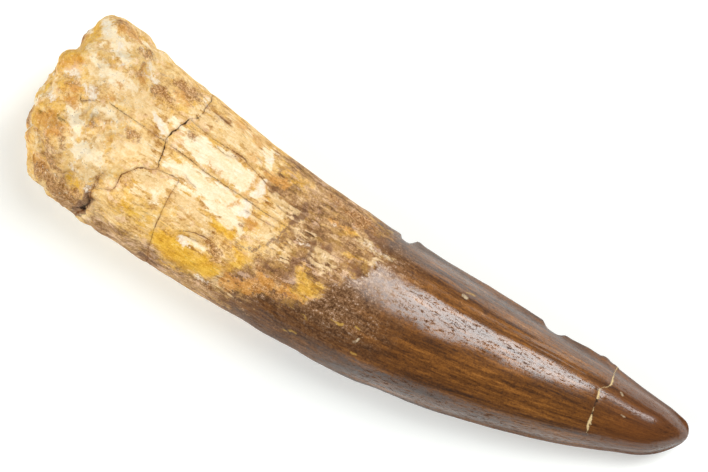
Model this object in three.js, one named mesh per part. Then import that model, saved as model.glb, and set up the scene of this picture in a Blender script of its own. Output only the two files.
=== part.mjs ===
// A fossil spinosaurus tooth: a long, slightly recurved cone with the root still on it, lying on its side.
// The root end is broken and weathered into lumps and pits, the crown carries a low keel (carina) along each edge,
// and the tip is worn round. The whole fossil is one grown piece, so it is one solid.
//
// Frame: millimetres. +X runs from the broken root to the tip, +Y points to the concave edge, +Z up from the
// surface the tooth lies on. The origin is the centre of the bounding box, on that surface.
import * as THREE from "three";
import { mergeVertices } from "three/addons/utils/BufferGeometryUtils.js";

// ---- Driving dimensions ----------------------------------------------------------------------------------
const LENGTH = 110; // root end to tip, along X
const TIP_CAP = 6; // length of the worn, rounded tip
const ROOT_ROUNDING = 4.2; // how far the broken end's rim is rounded back along X
const ROOT_RIM = 0.7; // share of the section that the broken face covers before its rim rounds off
const FLAT_DEPTH = 0.35; // how far the underside's wear spot is planed into the round section
const FLAT_MIDDLE = 41; // station of the middle of that spot
const FLAT_HALF_LENGTH = 29;
const KEEL_HEIGHT = 0.45; // how far a carina stands out of the section
const KEEL_HALF_ANGLE = 0.13; // its half-width round the section, in radians
const KEEL_START = 50; // station where the crown's enamel and its carinae begin
const KEEL_FULL = 62;

// The outline, looking down: station along X, convex edge (-Y), concave edge (+Y), and half the thickness (Z).
const STATIONS = [
  [0, -10.9, 17.3, 12.0],
  [8, -11.7, 16.8, 12.0],
  [15, -12.3, 15.0, 11.8],
  [25, -12.8, 13.5, 11.4],
  [40, -13.2, 11.2, 10.6],
  [55, -12.9, 9.9, 9.9],
  [70, -11.1, 9.2, 9.1],
  [82, -8.4, 8.8, 7.8],
  [92, -5.5, 8.4, 6.5],
  [100, -2.5, 7.7, 5.0],
  [106, 0.0, 7.3, 3.9],
  [110, 2.4, 7.5, 3.1],
];

// Scoops broken or weathered out of the surface: centre x, y, z above the surface it lies on, radius, depth.
const SCOOPS = [
  [7.6, -11.6, 14.5, 2.6, 1.3], // notch in the rim on the convex side
  [0.8, 9.4, 13.0, 2.0, 0.5], // step in the rim below the high corner
  [0.6, -1.5, 14.5, 3.4, 1.3], // rust-stained hollow in the break
  [3.4, -6.0, 19.0, 3.0, 0.8], // second hollow behind it
  [10.9, -8.0, 20.2, 2.2, 0.6],
  [8.4, 0.8, 23.6, 2.3, 0.5], // pit full of grains
  [15.9, 7.3, 21.6, 2.5, 0.5],
  [0.2, 4.0, 7.0, 4.5, 1.5], // hollow of the old pulp cavity, low in the break
  [1.5, 12.5, 6.5, 3.2, 1.2],
  [5.0, -9.5, 5.0, 3.5, 1.2],
  [26.5, -9.6, 15.8, 2.6, 0.35], // flake scars on the convex side
  [33.0, -9.6, 15.2, 3.0, 0.35],
  [22.0, 12.0, 5.5, 3.4, 0.5],
  [36.0, -10.5, 4.5, 4.0, 0.5],
];

// Chips out of the concave edge's carina: station, half-length, depth.
const KEEL_CHIPS = [
  [58.6, 1.4, 1.1],
  [84.3, 2.0, 0.8],
  [94.2, 1.2, 0.35],
];

// Ripples that make the weathered lumps: direction and pitch (radians per mm on each axis), phase, height.
const RIPPLES = [
  [0.62, 0.31, -0.44, 0.4, 0.26],
  [-0.35, 0.83, 0.27, 2.1, 0.24],
  [0.21, -0.52, 0.95, 4.3, 0.22],
  [1.25, 0.48, 0.66, 1.2, 0.17],
  [-0.77, 1.31, -0.58, 5.0, 0.15],
  [0.94, -1.12, 1.37, 3.3, 0.12],
];
const LUMPS_FULL_TO = 9; // the lumps are full height up to this station
const LUMPS_GONE_BY = 30;
const LUMPS_LEFT = 0.16; // share of their height that stays on the rest of the tooth

const AROUND = 54; // vertices round a section
const BODY_RINGS = 62;
const RIM_RINGS = 7;
const FACE_RINGS = 6;
const TIP_RINGS = 7;

// ---- Helpers ---------------------------------------------------------------------------------------------
const smoothStep = (from, to, x) => THREE.MathUtils.smoothstep(x, from, to);

// A smooth curve through the stations' values of one column, at station x.
function alongTooth(column, x) {
  const last = STATIONS.length - 1;
  const clamped = THREE.MathUtils.clamp(x, STATIONS[0][0], STATIONS[last][0]);
  let i = 0;
  while (i < last - 1 && clamped > STATIONS[i + 1][0]) i += 1;
  const slopeAt = (k) => {
    const before = STATIONS[Math.max(k - 1, 0)];
    const after = STATIONS[Math.min(k + 1, last)];
    return (after[column] - before[column]) / (after[0] - before[0]);
  };
  const [a, b] = [STATIONS[i], STATIONS[i + 1]];
  const span = b[0] - a[0];
  const t = (clamped - a[0]) / span;
  const rise = t * t * (3 - 2 * t);
  const leave = t * (1 - t) * (1 - t) * span * slopeAt(i);
  const arrive = t * t * (t - 1) * span * slopeAt(i + 1);
  return a[column] + (b[column] - a[column]) * rise + leave + arrive;
}

// Height of the weathered lumps at a point.
function lumps(point) {
  const wave = ([a, b, c, phase, height]) =>
    height * Math.sin(a * point.x + b * point.y + c * point.z + phase);
  const share = THREE.MathUtils.lerp(1, LUMPS_LEFT, smoothStep(LUMPS_FULL_TO, LUMPS_GONE_BY, point.x));
  return share * RIPPLES.reduce((sum, ripple) => sum + wave(ripple), 0);
}

// ---- The tooth -------------------------------------------------------------------------------------------
// The turned form: share of the full section (0 on the axis, 1 at the surface) against station, from the middle
// of the broken face, over its rounded rim, along the body and round the worn tip.
function turnedProfile() {
  const profile = [];
  for (let i = 0; i < FACE_RINGS; i += 1) {
    profile.push(new THREE.Vector2((ROOT_RIM * i) / FACE_RINGS, 0));
  }
  for (let i = 0; i < RIM_RINGS; i += 1) {
    const a = (Math.PI / 2) * (i / RIM_RINGS);
    profile.push(
      new THREE.Vector2(ROOT_RIM + (1 - ROOT_RIM) * Math.sin(a), ROOT_ROUNDING * (1 - Math.cos(a))),
    );
  }
  const capStart = LENGTH - TIP_CAP;
  for (let i = 0; i < BODY_RINGS; i += 1) {
    const x = THREE.MathUtils.lerp(ROOT_ROUNDING, capStart, i / BODY_RINGS);
    profile.push(new THREE.Vector2(1, x));
  }
  for (let i = 0; i <= TIP_RINGS; i += 1) {
    const a = (Math.PI / 2) * (i / TIP_RINGS);
    profile.push(new THREE.Vector2(i < TIP_RINGS ? Math.cos(a) : 0, capStart + TIP_CAP * Math.sin(a)));
  }
  return profile;
}

// Slant of the break: the convex side is broken back further than the rest.
function breakOffset(y) {
  const brokenBack = smoothStep(0, 12, -y) * 3.7;
  const highCorner = smoothStep(7.8, 9.8, y) * 1.7;
  return brokenBack + highCorner;
}

// Puts a vertex of the turned form (share of the section, angle round it, station) on the tooth.
function placeOnTooth(share, angle, station) {
  const convex = alongTooth(1, station);
  const concave = alongTooth(2, station);
  const halfThickness = alongTooth(3, station);
  const middle = (convex + concave) / 2;
  const halfWidth = (concave - convex) / 2;

  const keel = (from) => {
    const away = THREE.MathUtils.euclideanModulo(angle - from + Math.PI, 2 * Math.PI) - Math.PI;
    return Math.exp(-((away / KEEL_HALF_ANGLE) ** 2));
  };
  const enamel = smoothStep(KEEL_START, KEEL_FULL, station) * Math.min(1, share);
  const chipped = KEEL_CHIPS.reduce((sum, [at, halfLength, depth]) => {
    const near = Math.max(0, 1 - ((station - at) / halfLength) ** 2);
    return sum + depth * near;
  }, 0);
  const concaveKeel = keel(0) * (enamel * KEEL_HEIGHT - chipped);
  const convexKeel = keel(Math.PI) * enamel * KEEL_HEIGHT;

  const lift = FLAT_DEPTH * (((station - FLAT_MIDDLE) / FLAT_HALF_LENGTH) ** 2 - 1);
  const y = middle + Math.cos(angle) * (halfWidth * share + concaveKeel + convexKeel);
  const z = halfThickness + lift + Math.sin(angle) * halfThickness * share;
  const weight = 1 - smoothStep(0, 16, station);
  return new THREE.Vector3(station + breakOffset(y) * weight, y, z);
}

function toothGeometry() {
  // LatheGeometry turns the profile about Y: its radius is the share of the section and its height the station.
  const turned = new THREE.LatheGeometry(turnedProfile(), AROUND);
  turned.deleteAttribute("normal");
  turned.deleteAttribute("uv");
  const geometry = mergeVertices(turned, 1e-6);

  const position = geometry.getAttribute("position");
  const smooth = [];
  for (let i = 0; i < position.count; i += 1) {
    const share = Math.hypot(position.getX(i), position.getZ(i));
    const angle = share > 1e-6 ? Math.atan2(position.getX(i), position.getZ(i)) : 0;
    smooth.push(placeOnTooth(share, angle, position.getY(i)));
  }
  smooth.forEach((p, i) => position.setXYZ(i, p.x, p.y, p.z));
  geometry.computeVertexNormals();

  // Weathering moves each vertex along its own normal: lumps out and in, scoops in.
  const normal = geometry.getAttribute("normal");
  smooth.forEach((p, i) => {
    const outward = new THREE.Vector3().fromBufferAttribute(normal, i);
    let move = lumps(p);
    for (const [x, y, z, radius, depth] of SCOOPS) {
      const near = 1 - p.distanceToSquared(new THREE.Vector3(x, y, z)) / radius ** 2;
      if (near > 0) move -= depth * near * (2 - near);
    }
    const worn = p.clone().addScaledVector(outward, move);
    worn.z = Math.max(0, worn.z); // the wear spot that the tooth rests on
    position.setXYZ(i, worn.x, worn.y, worn.z);
  });
  geometry.deleteAttribute("normal");

  geometry.computeBoundingBox();
  const middle = geometry.boundingBox.getCenter(new THREE.Vector3());
  geometry.translate(-middle.x, -middle.y, -geometry.boundingBox.min.z);
  return geometry;
}

const fossil = new THREE.MeshStandardMaterial({ color: 0x9c7040, roughness: 0.45, metalness: 0 });
const tooth = new THREE.Mesh(toothGeometry(), fossil);
tooth.name = "tooth";

const spinosaurusTooth = new THREE.Group();
spinosaurusTooth.add(tooth);

export default spinosaurusTooth;
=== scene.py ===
import math

import bpy
import numpy as np
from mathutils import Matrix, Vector, noise


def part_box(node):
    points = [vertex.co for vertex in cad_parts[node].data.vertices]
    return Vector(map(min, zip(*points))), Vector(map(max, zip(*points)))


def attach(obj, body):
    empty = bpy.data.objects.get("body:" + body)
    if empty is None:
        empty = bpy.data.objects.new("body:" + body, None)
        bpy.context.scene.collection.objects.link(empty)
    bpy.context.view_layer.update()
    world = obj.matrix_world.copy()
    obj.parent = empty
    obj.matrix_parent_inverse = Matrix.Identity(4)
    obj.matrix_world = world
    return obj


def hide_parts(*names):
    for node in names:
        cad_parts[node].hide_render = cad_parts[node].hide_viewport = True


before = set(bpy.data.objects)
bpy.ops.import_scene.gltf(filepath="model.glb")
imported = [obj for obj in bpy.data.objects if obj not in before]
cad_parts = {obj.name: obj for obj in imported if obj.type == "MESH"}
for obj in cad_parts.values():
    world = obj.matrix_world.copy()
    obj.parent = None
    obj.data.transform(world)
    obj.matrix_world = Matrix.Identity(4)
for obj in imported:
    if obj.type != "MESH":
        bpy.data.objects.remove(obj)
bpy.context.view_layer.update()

# ---- Camera ----------------------------------------------------------------------------------------------
# A long lens straight above the tooth, turned so that the tooth runs from the upper left to the lower right.
MM = 0.001
VIEW_WIDTH = 106.5 * MM
VIEW_ALONG = 51.8
VIEW_ACROSS = 5.98
VIEW_TURN = math.radians(30)
LENS_HEIGHT = 2.0
SHARP_HEIGHT = 12 * MM  # level of the tooth's edges, where the view is exactly its stated width
MIDDLE_LINE = 13.45  # from the lowest corner of the tooth's box to the sketch's middle line

tooth_low, tooth_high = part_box("tooth")
camera = bpy.data.objects.new("camera", bpy.data.cameras.new("camera"))
bpy.context.scene.collection.objects.link(camera)
camera.data.lens = camera.data.sensor_width * (LENS_HEIGHT - SHARP_HEIGHT) / VIEW_WIDTH
camera.data.clip_end = 10 * LENS_HEIGHT
camera.location.x = tooth_low.x + VIEW_ALONG * MM
camera.location.y = tooth_low.y + (VIEW_ACROSS + MIDDLE_LINE) * MM
camera.location.z = LENS_HEIGHT
camera.rotation_euler.z = VIEW_TURN
bpy.context.scene.camera = camera

# ---- The tooth: its grown form ---------------------------------------------------------------------------
# A recurved cone of dentine with an enamel crown, a low keel along each edge of the crown, a slanting break
# at the root and a worn tip. It lies on a spot worn flat on its underside.
LENGTH = 110
TIP_CAP = 6
ROOT_ROUNDING = 4.2
ROOT_RIM = 0.7
FLAT_DEPTH = 0.35
FLAT_MIDDLE = 41
FLAT_HALF_LENGTH = 29
KEEL_HEIGHT = 0.45
KEEL_HALF_ANGLE = 0.13
KEEL_START = 50
KEEL_FULL = 62
BREAK_SLANT = 3.7  # how far the break leans back on the convex side
BREAK_STEP = 1.7  # and how far it is set back on the concave side
BREAK_STRAIGHT_BY = 16

# Station, convex edge, concave edge, half thickness.
STATIONS = np.array([
    (0, -10.9, 17.3, 12),
    (8, -11.7, 16.8, 12),
    (15, -12.3, 15, 11.8),
    (25, -12.8, 13.5, 11.4),
    (40, -13.2, 11.2, 10.6),
    (55, -12.9, 9.9, 9.9),
    (70, -11.1, 9.2, 9.1),
    (82, -8.4, 8.8, 7.8),
    (92, -5.5, 8.4, 6.5),
    (100, -2.5, 7.7, 5),
    (106, 0, 7.3, 3.9),
    (110, 2.4, 7.5, 3.1),
])
# Scoops broken or weathered out of the surface: station, across, height, radius, depth.
SCOOPS = [
    (7.6, -11.6, 14.5, 2.6, 1.3),
    (0.8, 9.4, 13, 2, 0.5),
    (0.6, -1.5, 14.5, 3.4, 1.3),
    (3.4, -6, 19, 3, 0.8),
    (10.9, -8, 20.2, 2.2, 0.6),
    (8.4, 0.8, 23.6, 2.3, 0.5),
    (15.9, 7.3, 21.6, 2.5, 0.5),
    (0.2, 4, 7, 4.5, 1.5),
    (1.5, 12.5, 6.5, 3.2, 1.2),
    (5, -9.5, 5, 3.5, 1.2),
    (26.5, -9.6, 15.8, 2.6, 0.35),
    (33, -9.6, 15.2, 3, 0.35),
    (22, 12, 5.5, 3.4, 0.5),
    (36, -10.5, 4.5, 4, 0.5),
]
# Chips out of the concave edge's keel: station, half-length, depth.
KEEL_CHIPS = [(58.6, 1.4, 1.1), (84.3, 2, 0.8), (94.2, 1.2, 0.35)]
# Weathered lumps: pitch in radians per millimetre on each axis, phase, height.
RIPPLES = [
    (0.62, 0.31, -0.44, 0.4, 0.26),
    (-0.35, 0.83, 0.27, 2.1, 0.24),
    (0.21, -0.52, 0.95, 4.3, 0.22),
    (1.25, 0.48, 0.66, 1.2, 0.17),
    (-0.77, 1.31, -0.58, 5, 0.15),
    (0.94, -1.12, 1.37, 3.3, 0.12),
]
LUMPS_FULL_TO = 9
LUMPS_GONE_BY = 30
LUMPS_LEFT = 0.16
ENAMEL_EVENNESS = 0.8  # share of what is left of the lumps that the enamel smooths out
ENAMEL_STARTS = 46
ENAMEL_WHOLE_BY = 60

AROUND = 288  # vertices round a section, closer together on top
TOP_CROWDING = 0.3
FACE_RINGS = 16
RIM_RINGS = 16
ROOT_RINGS = 165  # close rings up to the end of the cracked root, wider ones along the crown
CROWN_RINGS = 128
TIP_RINGS = 16
ROOT_ENDS = 47


def smooth_step(start, end, x):
    t = np.clip((x - start) / (end - start), 0, 1)
    return t * t * (3 - 2 * t)


def along_tooth(column, station):
    """A smooth curve through one column of the stations."""
    x = STATIONS[:, 0]
    value = STATIONS[:, column]
    before = np.maximum(np.arange(len(x)) - 1, 0)
    after = np.minimum(np.arange(len(x)) + 1, len(x) - 1)
    slope = (value[after] - value[before]) / (x[after] - x[before])
    at = np.clip(station, x[0], x[-1])
    i = np.clip(np.searchsorted(x, at, side="left") - 1, 0, len(x) - 2)
    span = x[i + 1] - x[i]
    t = (at - x[i]) / span
    leave = t * (1 - t) ** 2 * span * slope[i]
    arrive = t * t * (t - 1) * span * slope[i + 1]
    return value[i] + (value[i + 1] - value[i]) * t * t * (3 - 2 * t) + leave + arrive


def turned_profile():
    """Share of the section and station of each ring, from the middle of the break to the tip."""
    quarter = math.pi / 2
    face = ROOT_RIM * np.arange(1, FACE_RINGS) / FACE_RINGS
    rim = quarter * np.arange(RIM_RINGS) / RIM_RINGS
    cap_start = LENGTH - TIP_CAP
    root = np.linspace(ROOT_ROUNDING, ROOT_ENDS, ROOT_RINGS, endpoint=False)
    crown = np.linspace(ROOT_ENDS, cap_start, CROWN_RINGS, endpoint=False)
    tip = quarter * np.arange(TIP_RINGS) / TIP_RINGS
    body = np.concatenate([root, crown])
    rim_share = ROOT_RIM + (1 - ROOT_RIM) * np.sin(rim)
    rim_station = ROOT_ROUNDING * (1 - np.cos(rim))
    tip_station = cap_start + TIP_CAP * np.sin(tip)
    share = np.concatenate([face, rim_share, np.ones(len(body)), np.cos(tip)])
    return share, np.concatenate([0 * face, rim_station, body, tip_station])


def place_on_tooth(share, angle, station):
    """Puts points of the turned form on the tooth's bent, oval section, in millimetres."""
    convex = along_tooth(1, station)
    concave = along_tooth(2, station)
    half_thickness = along_tooth(3, station)
    half_width = (concave - convex) / 2

    def keel(centre):
        away = (angle - centre + math.pi) % (2 * math.pi) - math.pi
        return np.exp(-((away / KEEL_HALF_ANGLE) ** 2))

    keel_height = smooth_step(KEEL_START, KEEL_FULL, station) * share * KEEL_HEIGHT
    chipped = sum(d * np.maximum(0, 1 - ((station - at) / half) ** 2) for at, half, d in KEEL_CHIPS)
    keels = keel(0) * (keel_height - chipped) + keel(math.pi) * keel_height
    lift = FLAT_DEPTH * (((station - FLAT_MIDDLE) / FLAT_HALF_LENGTH) ** 2 - 1)
    across = (convex + concave) / 2 + np.cos(angle) * (half_width * share + keels)
    height = half_thickness + lift + np.sin(angle) * half_thickness * share
    slant = smooth_step(0, 12, -across) * BREAK_SLANT + smooth_step(7.8, 9.8, across) * BREAK_STEP
    slant = slant * (1 - smooth_step(0, BREAK_STRAIGHT_BY, station))
    return np.stack([station + slant, across, height], axis=-1)


def outward(rings):
    """Unit normals of a grid of rings."""
    round_it = np.roll(rings, -1, axis=1) - np.roll(rings, 1, axis=1)
    normal = np.cross(round_it, np.gradient(rings, axis=0))
    return normal / np.maximum(np.linalg.norm(normal, axis=-1, keepdims=True), 1e-9)


def weathering(points):
    """How far the lumps and scoops move each point along its normal."""
    lumps = sum(h * np.sin(points @ np.array((a, b, c)) + phase) for a, b, c, phase, h in RIPPLES)
    move = lumps * (1 + (LUMPS_LEFT - 1) * smooth_step(LUMPS_FULL_TO, LUMPS_GONE_BY, points[..., 0]))
    move = move * (1 - ENAMEL_EVENNESS * smooth_step(ENAMEL_STARTS, ENAMEL_WHOLE_BY, points[..., 0]))
    for x, y, z, radius, depth in SCOOPS:
        near = np.clip(1 - ((points - (x, y, z)) ** 2).sum(axis=-1) / radius**2, 0, 1)
        move = move - depth * near * (2 - near)
    return move


share, station = turned_profile()
turn = 2 * math.pi * np.arange(AROUND) / AROUND
share, angle = np.meshgrid(share, turn + TOP_CROWDING * np.cos(turn), indexing="ij")
station = np.broadcast_to(station[:, None], share.shape)
form = place_on_tooth(share, angle, station)
form = form + outward(form) * weathering(form)[..., None]
form[..., 0] += (tooth_low.x + tooth_high.x) / 2 / MM - (form[..., 0].min() + form[..., 0].max()) / 2
form[..., 1] += (tooth_low.y + tooth_high.y) / 2 / MM - (form[..., 1].min() + form[..., 1].max()) / 2
normals = outward(form)
along = form[..., 0] - tooth_low.x / MM
across = form[..., 1] - tooth_low.y / MM - MIDDLE_LINE

# Growth lines: a cylinder round the tooth's axis, shortened along it, so that grain on it runs lengthwise.
GROWTH_RADIUS = 10
GROWTH_STRETCH = 9
growth = np.stack([
    station / GROWTH_STRETCH,
    GROWTH_RADIUS * share * np.cos(angle),
    GROWTH_RADIUS * share * np.sin(angle),
], axis=-1)


def natural(points, size, seed, octaves=3):
    """Natural unevenness, about -1 to 1, in patches of that size in millimetres."""
    shift = Vector((seed * 17.3, seed * 5.7, seed * 11.9))
    places = (points / size).reshape(-1, 3).tolist()
    made = [noise.fractal(Vector(p) + shift, 1, 2, octaves) for p in places]
    return np.array(made).reshape(points.shape[:-1])


# The upper side, down to a border that wanders along the tooth, and the part of it that faces up.
wandering_height = np.sin(angle) + 0.18 * natural(form, 4, 36)
beside_break = np.where(station < LENGTH / 2, smooth_step(0.6, 0.85, share), 1)
top_side = smooth_step(-0.4, -0.2, wandering_height) * beside_break
facing_up = smooth_step(-0.1, 0.2, wandering_height) * beside_break


# ---- The tooth: its cracks -------------------------------------------------------------------------------
# Drying and burial cracked the root across and lengthwise, and the crown once near the tip, where pale
# sediment fills it. A crack is a line of points: along, across, half its width. The lists named under carry
# on round the underside.
FAR = 3.0  # beyond this distance a crack or a stain no longer counts

CRACKS_ACROSS = [
    [  # the main one, broken into short gapes, from the concave edge to its fork
        (22.9, 13.3, 0.02), (23.1, 12.9, 0.08), (23.05, 12.2, 0.04), (22.95, 11.4, 0.05), (23.1, 10.9, 0.1),
        (23, 10.6, 0.02),
    ],
    [(22.8, 9.9, 0.02), (22.72, 9.65, 0.11), (22.6, 9.5, 0.02)],
    [
        (21.9, 9, 0.02), (21.6, 8.7, 0.1), (21.45, 8, 0.17), (21.05, 7.4, 0.1), (20.95, 6.7, 0.13),
        (20.45, 5.9, 0.2), (20.35, 5.1, 0.1), (20.2, 4.6, 0.03), (20.4, 4, 0.07), (20.65, 3.2, 0.13),
        (20.85, 2.2, 0.1), (20.95, 1.2, 0.1), (21.3, 0.4, 0.09), (21.25, 0.1, 0.02),
    ],
    [(19.7, -0.95, 0.02), (19.4, -1, 0.08), (18.7, -1.45, 0.06), (18.5, -1.6, 0.02)],
]
CRACKS_ACROSS_UNDER = [
    [
        (22.7, 13.6, 0.08), (22.2, 11, 0.14), (23.4, 8.5, 0.16), (22.9, 5, 0.1), (24.1, 2, 0.14),
        (23.8, -2, 0.12), (25.2, -6, 0.14), (25.4, -9.5, 0.1), (26.6, -13.1, 0.16),
    ],
    [(36.8, 9, 0.03), (38, 6.2, 0.08), (37.2, 3, 0.1), (38.9, 0.2, 0.08), (38.6, -2.4, 0.03)],
]
CRACKS_BRANCHED = [
    [  # the main one's other arm, healed over with brown grains
        (21.2, -0.1, 0.03), (20.5, -0.65, 0.05), (19.5, -1, 0.1), (18.6, -1.5, 0.09), (18.2, -2.1, 0.06),
        (17.5, -2.9, 0.09), (17.05, -3.6, 0.14), (17.1, -4.5, 0.12), (17.2, -5.2, 0.05), (17, -6.2, 0.06),
        (16.1, -6.6, 0.03), (15.3, -6.9, 0.03), (14.8, -7.3, 0.02),
    ],
    [  # a ragged one that ends in a hole at the convex edge
        (14.55, -4.6, 0.02), (14.3, -5.6, 0.04), (14.2, -6.5, 0.03), (14.5, -7.3, 0.09), (14.3, -8, 0.05),
        (14.75, -8.8, 0.1), (15.05, -9.8, 0.06), (15, -10.6, 0.1), (14.6, -11.3, 0.2), (14, -11.9, 0.2),
        (13.9, -12.4, 0.05),
    ],
    [  # a fine one that leaves the fork and turns down to the convex edge
        (21.4, -0.1, 0.02), (22.2, 0, 0.03), (23.5, 0.12, 0.05), (24.9, 0.3, 0.06), (25, -0.6, 0.01),
        (24.85, -2.2, 0.04), (24.95, -3.2, 0.07), (24.95, -4.6, 0.03), (25.15, -5.9, 0.06), (25.2, -7.2, 0.1),
        (25.35, -8.3, 0.04), (25.7, -9.6, 0.04), (25.95, -11, 0.04), (26.4, -12, 0.05), (26.7, -13.1, 0.12),
    ],
]
CRACKS_BRANCHED_UNDER = [
    [(13.8, -12.4, 0.2), (12.6, -10, 0.14), (12.9, -7.4, 0.1), (11.4, -4.6, 0.08), (11.8, -2, 0.03)],
    [(24.1, 2.1, 0.05), (28.4, 2.8, 0.09), (33, 2.2, 0.08), (38.3, 2.6, 0.1), (45, 1.8, 0.04)],
]
CRACKS_ALONG = [
    [  # the long one on the middle of the top
        (10.6, 4.95, 0.06), (11.6, 4.8, 0.09), (12.4, 4.7, 0.05), (14, 4.62, 0.05), (16.3, 4.45, 0.03),
        (17.6, 4.3, 0.01), (18.7, 4.2, 0.06), (20, 4.1, 0.05), (21, 3.95, 0.02), (22.5, 3.9, 0.05),
        (24.9, 3.6, 0.09), (26.5, 3.35, 0.04), (27.6, 3.15, 0.07), (29.5, 3.05, 0.05), (31.5, 2.85, 0.08),
        (33.6, 2.75, 0.03), (35, 2.62, 0.07), (37, 2.45, 0.05), (38.6, 2.3, 0.08), (40.5, 2.25, 0.03),
        (42.5, 2.15, 0.05), (44, 1.9, 0.02), (46, 1.65, 0.04), (48, 1.95, 0.02), (50.5, 1.95, 0.03),
        (54.4, 1.8, 0.01),
    ],
    [(5.9, 3.8, 0.03), (6.25, 3.05, 0.08), (6.9, 3.45, 0.09), (7.4, 3.85, 0.06), (8, 4, 0.02)],
    [(82.5, 5.35, 0.02), (84.5, 5.45, 0.06), (87, 5.55, 0.07), (89.5, 5.55, 0.06), (92.5, 5.5, 0.02)],
]
CRACKS_ALONG_UNDER = [
    [
        (9, -3, 0.03), (14, -2.4, 0.1), (19, -3.2, 0.07), (26, -2.5, 0.12), (34, -3.6, 0.08),
        (41, -3, 0.06), (49, -3.4, 0.03),
    ],
]
CRACKS_BESIDE = [
    [  # the second long one, nearer the concave edge
        (22, 8.8, 0.02), (24, 8.45, 0.04), (26, 8.1, 0.04), (28, 7.95, 0.06), (29.5, 7.97, 0.08),
        (31, 7.9, 0.12), (32, 7.75, 0.12), (32.5, 7.4, 0.05), (34, 7, 0.04), (35, 6.68, 0.06),
        (35.6, 6.62, 0.16), (36.5, 6.2, 0.02), (38, 6, 0.04), (39, 5.9, 0.05), (40.2, 5.65, 0.03),
        (42, 5.2, 0.02), (43, 4.9, 0.01),
    ],
    [(24.2, 11.65, 0.03), (25.5, 11.45, 0.1), (26.7, 11.25, 0.16), (27.6, 11.05, 0.03)],
    [(52.6, 5.2, 0.02), (55, 5.05, 0.06), (57.5, 5, 0.06), (59.6, 4.85, 0.04)],
    [(28.6, -6.6, 0.02), (30, -5.85, 0.07), (31, -5.55, 0.1), (32.3, -5.35, 0.17), (33.4, -5.35, 0.16)],
]
HAIRLINES = [
    [(27.1, 7.75, 0.02), (27.5, 7.25, 0.05), (28.1, 7.02, 0.05), (29, 6.9, 0.05), (29.8, 6.95, 0.02)],
    [(25.5, 1.1, 0.02), (26.5, 0.7, 0.03), (27.6, 0.4, 0.02)],
    [(36, 1.15, 0.02), (38.5, 1.1, 0.05), (41.5, 1.15, 0.03)],
    [(29.5, -6.75, 0.04), (30.5, -6.7, 0.07), (32, -6.55, 0.03)],
    [(61.3, 3.6, 0.02), (61.4, 1, 0.06), (61.2, -1.2, 0.06), (61.5, -3, 0.02)],
    [(84.85, 4.6, 0.02), (84.9, 3.6, 0.05), (84.8, 2.4, 0.05), (84.75, 1.2, 0.02)],
]
FILLED_CRACK = [
    [
        (96.1, 8.3, 0.08), (96.15, 7.5, 0.06), (96.35, 6.8, 0.18), (96.5, 6.1, 0.18), (96.3, 5.5, 0.04),
        (95.6, 5, 0.02), (95.3, 4.4, 0.12), (95.55, 3.8, 0.2), (95.75, 3, 0.19), (95.85, 2.2, 0.06),
        (96, 1.4, 0.04), (96.3, 0.4, 0.2), (96.45, -0.4, 0.34), (96.6, -1.2, 0.32), (96.9, -1.9, 0.03),
    ],
]
FILLED_CRACK_UNDER = [
    [(96.1, 8.3, 0.1), (96.6, 6, 0.1), (96.2, 3, 0.12), (96.8, 0, 0.1), (96.9, -2.1, 0.05)],
]


def beside_segment(x, y, start, end):
    """How far points lie from one segment of a line, on which side, and half the line's width there."""
    (x0, y0, w0), (x1, y1, w1) = start, end
    length = max(math.hypot(x1 - x0, y1 - y0), 1e-6)
    ux, uy = (x1 - x0) / length, (y1 - y0) / length
    t = np.clip(((x - x0) * ux + (y - y0) * uy) / length, 0, 1)
    off = np.hypot(x - x0 - ux * t * length, y - y0 - uy * t * length)
    side = np.where((x - x0) * uy < (y - y0) * ux, -1, 1)
    return off, side, w0 + (w1 - w0) * t


def nearest_line(lines):
    """Signed distance to the nearest line, and half its width there, which falls below nothing beside it."""
    nearest = np.full(along.shape, FAR)
    signed = np.full(along.shape, FAR)
    half_width = np.full(along.shape, -FAR)
    for line in lines:
        for start, end in zip(line, line[1:]):
            off, side, width = beside_segment(along, across, start, end)
            closer = off < nearest
            nearest = np.where(closer, off, nearest)
            signed = np.where(closer, off * side, signed)
            half_width = np.where(closer, width, half_width)
    return signed, half_width - np.maximum(0, nearest - 0.5)


def cracks(top_lines, under_lines=()):
    on_top = np.stack(nearest_line(top_lines), axis=-1)
    below = np.stack(nearest_line(under_lines), axis=-1)
    return np.where(top_side[..., None] > 0.5, on_top, below)


across_cracks = cracks(CRACKS_ACROSS, CRACKS_ACROSS_UNDER)
branched_cracks = cracks(CRACKS_BRANCHED, CRACKS_BRANCHED_UNDER)
along_cracks = cracks(CRACKS_ALONG, CRACKS_ALONG_UNDER)
beside_cracks = cracks(CRACKS_BESIDE)
hairlines = cracks(HAIRLINES)
filled_crack = cracks(FILLED_CRACK, FILLED_CRACK_UNDER)

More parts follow.
